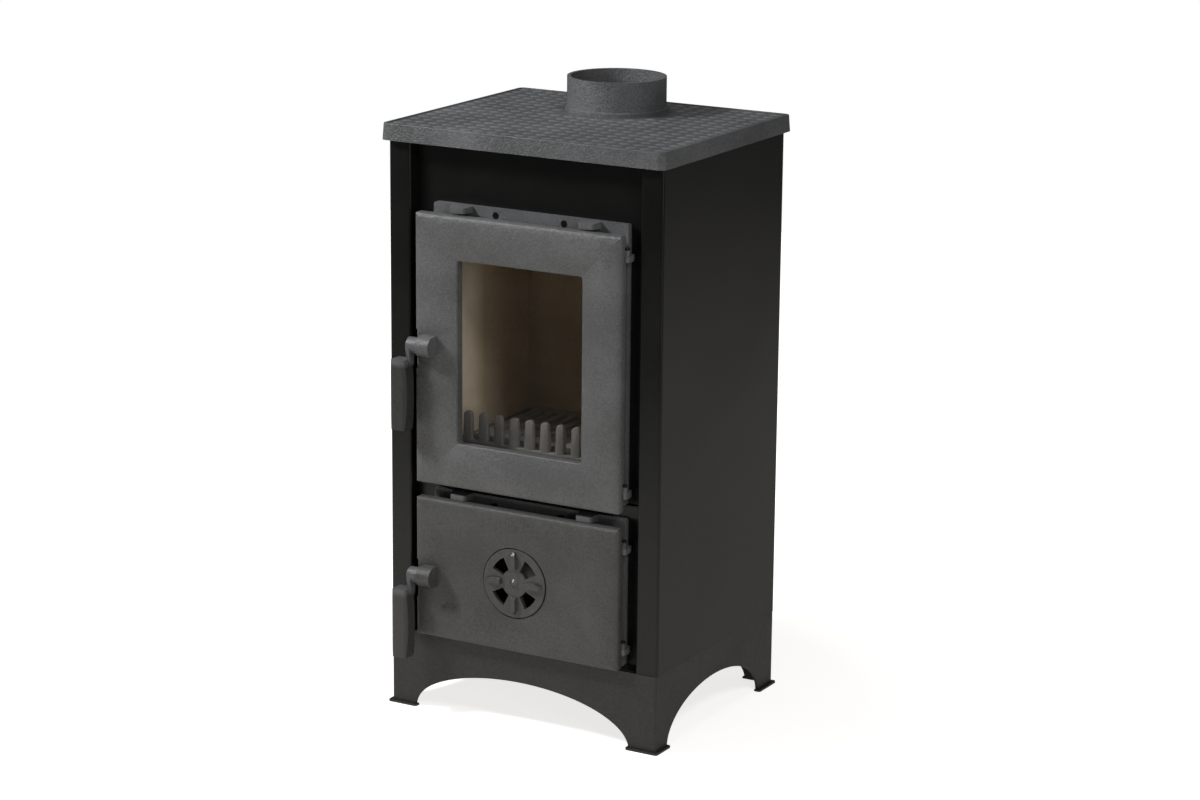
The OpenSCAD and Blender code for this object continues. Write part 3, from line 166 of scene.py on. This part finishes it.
class Recipe:
    """A tree of shader nodes, built from expressions."""

    def __init__(self, tree, ending):
        self.tree = tree
        self.tree.nodes.clear()
        self.ending = self.tree.nodes.new("ShaderNode" + ending)

    def feed(self, socket, value):
        if isinstance(value, Signal):
            self.tree.links.new(value.socket, socket)
        else:
            socket.default_value = value

    def node(self, kind, settings=None, inputs=None, output=0):
        """Adds a node and gives one of its outputs."""
        made = self.tree.nodes.new("ShaderNode" + kind)
        for key, value in (settings or {}).items():
            setattr(made, key, value)
        for key, value in (inputs or {}).items():
            self.feed(made.inputs[key], value)
        return Signal(self, made.outputs[output])

    def show(self, shader):
        """Makes a shader the one that is seen."""
        self.feed(self.ending.inputs["Surface"], shader)

    def ray(self, kind):
        """1 on rays of one kind and 0 on the others."""
        return self.node("LightPath", output=kind)

    def clamp(self, value, low, high, to_low=0.0, to_high=1.0):
        """Stretches low to high over the second range, and stops at its ends."""
        return self.node("MapRange", None, {0: value, 1: low, 2: high, 3: to_low, 4: to_high})


class Finish(Recipe):
    """A material with one Principled shader."""

    def __init__(self, name, colour, roughness, metallic=0.0, **constants):
        self.material = bpy.data.materials.new(name)
        self.material.use_nodes = True
        super().__init__(self.material.node_tree, "OutputMaterial")
        self.shader = self.tree.nodes.new("ShaderNodeBsdfPrincipled")
        self.show(Signal(self, self.shader.outputs[0]))
        self.set("Base Color", colour)
        self.set("Roughness", roughness)
        self.set("Metallic", metallic)
        for socket, value in constants.items():
            self.set(socket.replace("_", " "), value)
        self.place = None

    def set(self, socket, value):
        self.feed(self.shader.inputs[socket], value)

    def fed(self, socket):
        """What feeds one of the shader's sockets so far."""
        return Signal(self, self.shader.inputs[socket].links[0].from_socket)

    def where(self):
        """The point on the piece, in metres in the stove's own frame."""
        if self.place is None:
            self.place = self.node("TexCoord", output="Object")
        return self.place

    def along(self, axis):
        """How far the point lies along X, Y or Z, in metres."""
        return self.node("SeparateXYZ", None, {0: self.where()}, output=axis)

    def noise(self, scale, detail=2.0, rough=0.5, stretch=None):
        point = self.where()
        if stretch:
            point = self.node("Mapping", None, {"Vector": point, "Scale": stretch})
        return self.node("TexNoise", None, {"Vector": point, "Scale": scale, "Detail": detail,
                                            "Roughness": rough})

    def blend(self, factor, first, second):
        """Goes from the first colour to the second as the factor goes from 0 to 1."""
        return self.node("Mix", {"data_type": "RGBA"}, {"Factor": factor, 6: first, 7: second},
                         output=2)

    def bump(self, height, strength, distance):
        self.set("Normal", self.node("Bump", None, {"Height": height, "Strength": strength,
                                                    "Distance": distance}))


def srgb(red, green, blue):
    """A colour given as 0-255 values, as the linear one that a shader takes."""
    def line(value):
        value = value / 255
        return value / 12.92 if value <= 0.04045 else ((value + 0.055) / 1.055) ** 2.4
    return (line(red), line(green), line(blue), 1)


# ---------------------------------------------------------------- finishes

def cast_paint(name, dark, pale, grain=1.0, roughness=0.46):
    """Satin stove paint on sand-cast iron."""
    paint = Finish(name, dark, roughness, Specular_IOR_Level=0.5)
    sand = paint.noise(scale=430, detail=3.0, rough=0.7)
    lumps = paint.noise(scale=110)
    cloud = paint.noise(scale=15, detail=3.0, rough=0.55)
    mottle = paint.clamp(sand * 0.6 + cloud * 0.4, low=0.42, high=0.6)
    paint.set("Base Color", paint.blend(mottle, dark, pale))
    paint.set("Roughness", paint.clamp(cloud, *MIDDLING, roughness - 0.05, roughness + 0.06))
    paint.bump(sand + lumps * 0.8, strength=0.7 * grain, distance=0.8 * MM)
    return paint


def handle_paint(name, paint_colours, grip_colour, grip_top):
    """Cast lever whose grip has its own colour up to the given height in mm."""
    paint = cast_paint(name, *paint_colours)
    above_grip = paint.clamp(paint.along("Z"), (grip_top - GRIP_FADE) * MM, grip_top * MM)
    paint.set("Base Color", paint.blend(above_grip, grip_colour, paint.fed("Base Color")))
    return paint


def sheet_paint(name, dark, pale, roughness=0.3):
    """Smooth satin paint on sheet steel."""
    paint = Finish(name, dark, roughness, Specular_IOR_Level=0.4)
    cloud = paint.noise(scale=6)
    paint.set("Base Color", paint.blend(paint.clamp(cloud, *MIDDLING), dark, pale))
    paint.set("Roughness", paint.clamp(cloud, *MIDDLING, roughness - 0.03, roughness + 0.04))
    paint.bump(paint.noise(scale=420), strength=0.06, distance=0.3 * MM)
    return paint


def bare_metal(name, colour, roughness=0.4):
    """Plated or rolled steel with faint marks drawn out along its height."""
    steel = Finish(name, colour, roughness, metallic=0.9)
    marks = steel.noise(scale=240, stretch=(1, 1, 0.2))
    steel.set("Roughness", steel.clamp(marks, 0.3, 0.7, roughness - 0.06, roughness + 0.1))
    return steel


def rope_weave(name):
    """Knitted glass-fibre rope."""
    rope = Finish(name, srgb(176, 172, 160), roughness=0.95, Specular_IOR_Level=0.1)
    stitch = rope.noise(scale=900, detail=1.0)
    rope.set("Base Color", rope.blend(rope.clamp(stitch, *MIDDLING), srgb(150, 146, 134),
                                      srgb(196, 192, 180)))
    rope.bump(stitch, strength=0.8, distance=0.6 * MM)
    return rope


def vermiculite(name):
    """Grained board with random soot, painted light low down and along its front edge, and
    painted shade towards its top.

    Each pair below is two depths or two heights, in metres, between which a look fades.
    """
    lit_edge_depth, lit_edge_height = (-0.062, -0.028), (0.5, 0.6)
    lit_low_height, shade_top_height = (0.36, 0.45), (0.5, 0.6)
    board = Finish(name, srgb(200, 180, 150), roughness=0.9, Specular_IOR_Level=0.15)
    grain = board.noise(scale=420, detail=3.0, rough=0.7)
    soot = board.noise(scale=9, detail=3.0, rough=0.6)
    depth, height = board.along("Y"), board.along("Z")
    # painted light: paler towards the front edge and low down, where light falls in through
    # the window
    painted_edge_light = (board.clamp(depth, *lit_edge_depth, 1.0, 0.0)
                  * board.clamp(height, *lit_edge_height, 1.0, 0.0))
    painted_light = painted_edge_light + board.clamp(height, *lit_low_height, 0.4, 0.0)
    tone = board.blend(board.clamp(grain, *MIDDLING), srgb(178, 158, 128), srgb(194, 175, 145))
    # the pale colour of that painted light
    tone = board.blend(painted_light, tone, srgb(240, 226, 203))
    # random soot, plus painted shade that darkens the board towards its top
    soot_and_painted_shade = (board.clamp(soot, low=0.4, high=0.75) * 0.4
             + board.clamp(height, *shade_top_height) * 0.5)
    board.set("Base Color", board.blend(soot_and_painted_shade, tone, srgb(150, 128, 100)))
    board.bump(grain, strength=0.3, distance=0.6 * MM)
    return board


def make_finishes():
    """Every finish, under the node or the material slot that wears it."""
    made = {}
    grey = (srgb(84, 85, 86), srgb(98, 99, 101))

    # the hob plate with its pads and collar, after the slot for all other grey castings
    made["cast_grey"] = cast_paint("cast_grey", *grey)
    made["top_plate"] = cast_paint("cast_grey_plate", srgb(74, 75, 76), srgb(96, 97, 99),
                                   grain=1.5)
    # painted highlight: the pads are painted paler than the plate they are cast with, where
    # light catches their facets
    made["pads"] = cast_paint("cast_grey_pads_painted_highlight", srgb(98, 99, 100), srgb(116, 117, 119),
                              grain=0.8)
    made["flue_collar"] = cast_paint("cast_grey_collar", srgb(79, 80, 81), srgb(103, 104, 106),
                                     grain=1.8)

    # the doors with their frames, levers, rosette and glass
    made["upper_door"] = cast_paint("cast_grey_upper", srgb(81, 82, 82), srgb(101, 101, 102),
                                    grain=1.3)
    # painted shade: the lower door's paint is darker than the upper door's, for the light
    # falling off towards the bottom
    made["lower_door"] = cast_paint("cast_grey_lower_shaded", srgb(64, 63, 62), srgb(80, 80, 79),
                                    grain=1.3)
    made["upper_door_frame"] = cast_paint("cast_grey_frames", srgb(88, 89, 90),
                                          srgb(104, 105, 107))
    made["lower_door_frame"] = made["upper_door_frame"]
    made["upper_handle"] = handle_paint("handle_upper", grey, srgb(48, 48, 46), UPPER_GRIP_TOP)
    made["lower_handle"] = handle_paint("handle_lower", grey, srgb(60, 58, 55), LOWER_GRIP_TOP)
    # painted shade: the rosette takes the lower door's darker tone
    made["air_disc"] = cast_paint("cast_grey_rosette_shaded", srgb(64, 63, 62), srgb(79, 79, 78),
                                  grain=0.6, roughness=0.34)
    made["stove_glass"] = Finish("stove_glass", srgb(60, 59, 57), roughness=0.04, IOR=1.45,
                                 Alpha=0.08)

    # the casing and the plinth
    made["casing_black"] = sheet_paint("casing_black", srgb(11, 11, 11), srgb(15, 15, 14))
    made["plinth_grey"] = cast_paint("plinth_grey", srgb(38, 37, 35), srgb(50, 49, 46),
                                     grain=0.9)

    # the firebox, what lies in it, and the ash drawer
    made["fire_steel"] = cast_paint("fire_steel", srgb(34, 32, 30), srgb(44, 41, 38),
                                    grain=0.5, roughness=0.7)
    made["fire_iron"] = cast_paint("fire_iron", srgb(96, 90, 82), srgb(122, 116, 106),
                                   grain=0.8, roughness=0.6)
    # painted light: the grate is painted paler than iron, to brighten it where it lies in the
    # firebox's shade
    made["grate"] = cast_paint("fire_iron_painted_light", srgb(150, 151, 149), srgb(168, 169, 167),
                               grain=0.6, roughness=0.6)
    made["hearth_plate"] = cast_paint("fire_iron_hearth", srgb(108, 106, 101),
                                      srgb(126, 124, 119), grain=0.6, roughness=0.6)
    made["log_guard"] = cast_paint("fire_iron_guard", srgb(122, 120, 116), srgb(140, 138, 134),
                                   grain=0.6, roughness=0.6)
    made["lining_board"] = vermiculite("lining_board")
    made["drawer_sheet"] = bare_metal("drawer_sheet", srgb(120, 120, 118))

    # seals and fixings
    made["seal_rope"] = rope_weave("seal_rope")
    made["fixings"] = bare_metal("fixings", srgb(96, 96, 96), roughness=0.45)
    made["hinge_pins"] = bare_metal("blackened_steel", srgb(44, 43, 42), roughness=0.5)
    made["upper_frame_screws"] = made["lower_frame_screws"] = made["hinge_pins"]
    return made


def dress_nodes(finishes):
    """Gives each node its own finish, or its slot's where it has none."""
    slots = {part["node"]: part["material_slot"] for part in frame["record"]["subparts"]}
    for node, obj in frame["nodes"].items():
        obj.data.materials.clear()
        obj.data.materials.append(finishes[node if node in finishes else slots[node]].material)


# ---------------------------------------------------------------- bench work

def deselect():
    bpy.ops.object.select_all(action="DESELECT")


def pick(obj):
    """Selects one piece alone and makes it the active one."""
    deselect()
    obj.select_set(True)
    bpy.context.view_layer.objects.active = obj


def settle(obj):
    """Puts a piece's place and size into its mesh."""
    pick(obj)
    bpy.ops.object.transform_apply(location=True, rotation=True, scale=True)


def open_mesh(obj):
    """Goes into edit mode with nothing selected."""
    pick(obj)
    bpy.ops.object.mode_set(mode="EDIT")
    bpy.ops.mesh.select_all(action="DESELECT")


def close_mesh():
    bpy.ops.object.mode_set(mode="OBJECT")


def add_array(obj, step, count):
    """Repeats a piece in a row."""
    row = obj.modifiers.new("row", "ARRAY")
    row.use_relative_offset = False
    row.use_constant_offset = True
    row.constant_offset_displace = step
    row.count = count
    bpy.context.view_layer.objects.active = obj
    bpy.ops.object.modifier_apply(modifier=row.name)


def soften(obj, width):
    """Takes a casting's sharp edges off."""
    bevel = obj.modifiers.new("cast_edges", "BEVEL")
    bevel.width = width
    bevel.segments = 2
    bevel.limit_method = "ANGLE"
    bpy.context.view_layer.objects.active = obj
    bpy.ops.object.modifier_apply(modifier=bevel.name)


def halfway(low, high):
    return [(a + b) / 2 for a, b in zip(low, high)]


# ---------------------------------------------------------------- pads of the hob plate

def pad_field(centre, top):
    """Rows of small lozenge pads that stand up to the height of the plate's rim."""
    rise = PAD_RISE * MM
    pitch = [step * MM for step in PAD_PITCH]
    start = [c - p * (n - 1) / 2 for c, p, n in zip(centre, pitch, PAD_COUNTS)]
    deselect()
    bpy.ops.mesh.primitive_cone_add(vertices=4, radius1=PAD_RADIUS * MM,
                                    radius2=PAD_TOP_SHARE * PAD_RADIUS * MM, depth=rise,
                                    location=(start[0], start[1], top - rise / 2))
    pads = bpy.context.active_object
    pads.name = "plate_pads"
    settle(pads)
    add_array(pads, (pitch[0], 0, 0), PAD_COUNTS[0])
    add_array(pads, (0, pitch[1], 0), PAD_COUNTS[1])
    return pads


def cut_round(pads, centre, radius):
    """Takes away the pads that reach into a circle."""
    open_mesh(pads)
    mesh = bmesh.from_edit_mesh(pads.data)
    for vert in mesh.verts:
        away = math.hypot(vert.co.x - centre[0], vert.co.y - centre[1])
        if away < radius:
            vert.select = True
    mesh.select_flush(True)
    bmesh.update_edit_mesh(pads.data)
    bpy.ops.mesh.select_linked()
    bpy.ops.mesh.delete(type="VERT")
    close_mesh()


def make_pads(finishes):
    """The plate's pads, all but those where the collar stands."""
    low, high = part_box("top_plate")
    collar_low, collar_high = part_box("flue_collar")
    reach = (collar_high[0] - collar_low[0]) / 2 + COLLAR_MARGIN * MM
    field = pad_field(halfway(low, high), high[2])
    cut_round(field, halfway(collar_low, collar_high), reach)
    field.data.materials.append(finishes["pads"].material)
    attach(field, "stove_body")


# ---------------------------------------------------------------- log guard

def block(name, low, high):
    """A cube between two corners, the start of a cast bar."""
    deselect()
    bpy.ops.mesh.primitive_cube_add(size=1, location=halfway(low, high),
                                    scale=[b - a for a, b in zip(low, high)])
    made = bpy.context.active_object
    made.name = name
    settle(made)
    return made


def taper_finger(finger, top):
    """Narrows a finger towards its top and rounds its two shoulders."""
    open_mesh(finger)
    bpy.ops.mesh.select_mode(type="EDGE")
    mesh = bmesh.from_edit_mesh(finger.data)
    for edge in mesh.edges:
        edge.select = all(abs(vert.co.z - top) < SAME_LINE * MM for vert in edge.verts)
    bmesh.update_edit_mesh(finger.data)
    bpy.ops.transform.resize(value=(GUARD_TOP / GUARD_FOOT, GUARD_TOP_SHARE, 1))
    mesh = bmesh.from_edit_mesh(finger.data)
    for edge in mesh.edges:
        one, two = edge.verts
        edge.select = edge.select and abs(one.co.x - two.co.x) < SAME_LINE * MM
    mesh.select_flush_mode()
    bmesh.update_edit_mesh(finger.data)
    bpy.ops.mesh.bevel(offset=GUARD_SHOULDER * MM, segments=GUARD_SHOULDER_STEPS,
                       affect="EDGES")
    close_mesh()


def make_log_guard(finishes):
    """The comb that holds the logs: slim fingers on a low bar."""
    low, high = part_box("log_guard")
    pitch = (high[0] - low[0] - 2 * GUARD_END * MM) / (GUARD_FINGERS - 1)
    first, half = low[0] + GUARD_END * MM, GUARD_FOOT * MM / 2
    bar = block("log_guard_bar", low, (high[0], high[1], low[2] + GUARD_BAR * MM))
    soften(bar, BAR_SOFTNESS * MM)
    finger = block("log_guard_comb", (first - half, low[1], low[2] + GUARD_ROOT * MM),
                   (first + half, high[1], high[2]))
    taper_finger(finger, high[2])
    soften(finger, FINGER_SOFTNESS * MM)
    add_array(finger, (pitch, 0, 0), GUARD_FINGERS)
    pick(finger)
    bar.select_set(True)
    bpy.ops.object.join()
    bpy.ops.object.shade_smooth_by_angle(angle=math.radians(GUARD_TURN))
    finger.data.materials.append(finishes["log_guard"].material)
    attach(finger, "stove_body")
    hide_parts("log_guard")


# ---------------------------------------------------------------- doors

def front_faces(mesh):
    return [face for face in mesh.faces if face.normal.y < FACE_TURN
            and all(FACE_FRONT * MM < vert.co.y < FACE_BACK * MM for vert in face.verts)]


def edge_planes(node):
    """The left, bottom, right and top of a door's front: a point on each and the way in."""
    low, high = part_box(node)
    return ((low, Vector((1, 0, 0))), (low, Vector((0, 0, 1))),
            ((high[0] - DOOR_EAR * MM, high[1], high[2]), Vector((-1, 0, 0))),
            (high, Vector((0, 0, -1))))


def cut_edge_loops(door, planes):
    """Cuts lines along the sides of the front, for its rounded edge to follow."""
    for point, inwards in planes:
        for step in EDGE_STEPS:
            bpy.ops.mesh.select_all(action="DESELECT")
            mesh = bmesh.from_edit_mesh(door.data)
            for face in front_faces(mesh):
                face.select = True
            bmesh.update_edit_mesh(door.data)
            bpy.ops.mesh.bisect(plane_co=Vector(point) + inwards * step * MM, plane_no=inwards)


def round_off(door, planes, rails, sink):
    """Lowers the front towards its outer edges, and along its rails towards the middle."""
    mesh = bmesh.from_edit_mesh(door.data)
    mesh.normal_update()
    for vert in {vert for face in front_faces(mesh) for vert in face.verts}:
        depths = [max(0, (vert.co - Vector(point)).dot(inwards)) / MM
                  for point, inwards in planes]
        inside = min(depths)
        across = min(1, min(depth / rail for depth, rail in zip(depths, rails)))
        edge = 1 - min(1, inside / EDGE_WIDTH)
        slope = 1 - min(1, inside / SLOPE_WIDTH)
        fall = max(0, across - RAIL_CREST) / (1 - RAIL_CREST)
        drop = (EDGE_DROP * (1 - math.sqrt(1 - edge * edge)) + SLOPE_DROP * slope ** 2
                + sink * fall ** SINK_CURVE)
        vert.co.y += drop * MM
    bmesh.update_edit_mesh(door.data)


def crease_mitres(door):
    """Smooth shading all over but for corners and the mitres between the rails."""
    mesh = bmesh.from_edit_mesh(door.data)
    mesh.normal_update()
    for face in mesh.faces:
        face.smooth = True
    for edge in mesh.edges:
        one, two = [face.normal for face in edge.link_faces]
        turn = one.angle(two, 0)
        mitre = (abs(one.x) > abs(one.z)) != (abs(two.x) > abs(two.z))
        edge.smooth = turn < math.radians(MITRE_TURN if mitre else DOOR_TURN)
    bmesh.update_edit_mesh(door.data)


def make_door(finishes, node, body, rails, sink):
    """A door's casting with soft outer edges and crisp mitres."""
    door = bpy.data.objects.new(node + "_casting", frame["nodes"][node].data.copy())
    bpy.context.scene.collection.objects.link(door)
    pick(door)
    bpy.ops.mesh.customdata_custom_splitnormals_clear()
    open_mesh(door)
    bpy.ops.mesh.select_all(action="SELECT")
    bpy.ops.mesh.remove_doubles(threshold=SAME_POINT * MM)
    planes = edge_planes(node)
    cut_edge_loops(door, planes)
    round_off(door, planes, rails, sink)
    crease_mitres(door)
    close_mesh()
    door.data.materials.clear()
    door.data.materials.append(finishes[node].material)
    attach(door, body)
    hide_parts(node)


# ---------------------------------------------------------------- studio

def make_camera():
    """The photograph's viewpoint, about 4 m from the stove."""
    azimuth, elevation, roll = [math.radians(turn) for turn in
                                (CAMERA_AZIMUTH, CAMERA_ELEVATION, CAMERA_ROLL)]
    back = Vector((math.sin(azimuth) * math.cos(elevation),
                   -math.cos(azimuth) * math.cos(elevation), math.sin(elevation)))
    right = (-back).cross(Vector((0, 0, 1))).normalized()
    up = right.cross(-back)
    rolled_right = right * math.cos(roll) + up * math.sin(roll)
    rolled_up = up * math.cos(roll) - right * math.sin(roll)
    turn = Matrix((rolled_right, rolled_up, back)).transposed()
    data = bpy.data.cameras.new("camera")
    data.sensor_width = CAMERA_SENSOR
    data.lens = CAMERA_LENS
    camera = bpy.data.objects.new("camera", data)
    camera.matrix_world = Matrix.Translation(CAMERA_PLACE) @ turn.to_4x4()
    bpy.context.scene.collection.objects.link(camera)
    bpy.context.scene.camera = camera


def make_floor():
    """A pale floor, white to the camera but for a greyer patch under the stove."""
    deselect()
    bpy.ops.mesh.primitive_plane_add(size=FLOOR_SIZE, location=FLOOR_MIDDLE)
    floor = bpy.context.active_object
    floor.name = "floor"
    pale = Finish("floor_white", (0.8, 0.78, 0.74, 1), roughness=0.9)
    pale.set("Emission Color", (1.0, 0.97, 0.91, 1))
    pale.set("Emission Strength", FLOOR_LIGHT)
    seen = pale.ray("Is Camera Ray") + pale.ray("Is Transmission Ray")
    away = pale.node("VectorMath", {"operation": "LENGTH"}, {0: pale.where()}, output=1)
    white = pale.clamp(away, *WHITE_FLOOR, UNDER_STOVE, 1.0)
    glow = pale.node("Emission", None, {"Color": WHITE, "Strength": seen * white})
    lit = Signal(pale, pale.shader.outputs[0])
    pale.show(pale.node("AddShader", None, {0: lit, 1: glow}))
    floor.data.materials.append(pale.material)
    settle(floor)


def make_backdrop():
    """White to the camera, also through glass, and faint as a light on the stove."""
    world = bpy.data.worlds.new("studio")
    bpy.context.scene.world = world
    world.use_nodes = True
    sky = Recipe(world.node_tree, "OutputWorld")
    faint = sky.node("Background", None, {"Color": WHITE, "Strength": SKY_LIGHT})
    white = sky.node("Background", None, {"Color": WHITE, "Strength": 1.0})
    seen = (sky.ray("Is Camera Ray") + sky.ray("Is Transmission Ray")
            + sky.ray("Is Glossy Ray") * MIRRORED)
    sky.show(sky.node("MixShader", None, {0: seen, 1: faint, 2: white}))


def make_lamps():
    """Square area lamps round the stove."""
    for name, lamp in LAMPS.items():
        data = bpy.data.lights.new(name, "AREA")
        data.shape = "SQUARE"
        data.size = lamp["side"]
        data.energy = lamp["power"]
        aim = Vector(STOVE_MIDDLE) - Vector(lamp["place"])
        turn = aim.to_track_quat("-Z", "Y").to_matrix()
        obj = bpy.data.objects.new(name, data)
        obj.matrix_world = Matrix.Translation(lamp["place"]) @ turn.to_4x4()
        bpy.context.scene.collection.objects.link(obj)


make_camera()
make_floor()
make_backdrop()
make_lamps()
bpy.context.scene.view_settings.view_transform = "Standard"
finishes = make_finishes()
dress_nodes(finishes)
make_pads(finishes)
make_log_guard(finishes)
make_door(finishes, "upper_door", "upper_door_leaf", UPPER_RAILS, UPPER_SINK)
make_door(finishes, "lower_door", "lower_door_leaf", LOWER_RAILS, LOWER_SINK)
